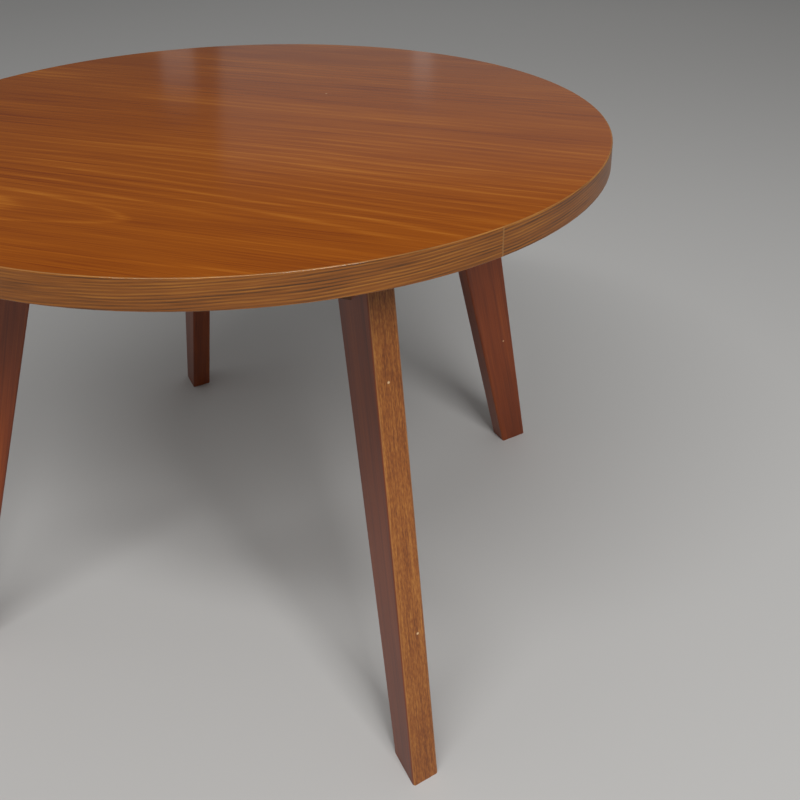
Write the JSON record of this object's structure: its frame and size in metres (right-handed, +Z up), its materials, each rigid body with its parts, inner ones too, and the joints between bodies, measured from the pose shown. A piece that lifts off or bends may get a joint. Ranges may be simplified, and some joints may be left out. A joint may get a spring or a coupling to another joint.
{
  "type": "round side table",
  "caption": "Round veneered side table with a banded edge, on a square rail frame with flat, tapered and splayed diagonal legs.",
  "frame": {"origin": "on the floor under the centre of the round top", "axes": "+Z up, -Y to the front and +X to the right; the rails run along X and Y and the legs stand on the diagonals"},
  "size_m": [0.6999, 0.7, 0.496],
  "materials": {
    "face_veneer": "red-brown hardwood veneer under gloss lacquer",
    "core_board": "raw wood board",
    "backing_veneer": "plain hardwood veneer, unpolished",
    "edge_strip": "hardwood strip under satin lacquer",
    "leg_wood": "stained ash under satin lacquer",
    "frame_wood": "beech, thinly stained",
    "dowel_wood": "raw beech",
    "screw_steel": "zinc-plated steel"
  },
  "bodies": {
    "root": {"top_veneer": "face_veneer", "core_board": "core_board", "bottom_veneer": "backing_veneer", "edge_band": "edge_strip", "leg_front_right": "leg_wood", "leg_back_right": "leg_wood", "leg_back_left": "leg_wood", "leg_front_left": "leg_wood", "rail_front": "frame_wood", "rail_right": "frame_wood", "rail_back": "frame_wood", "rail_left": "frame_wood", "block_front_right": "frame_wood", "block_back_right": "frame_wood", "block_back_left": "frame_wood", "block_front_left": "frame_wood", "leg_dowels": "dowel_wood", "leg_screws": "screw_steel", "top_screws": "screw_steel"}
  },
  "joints": []
}
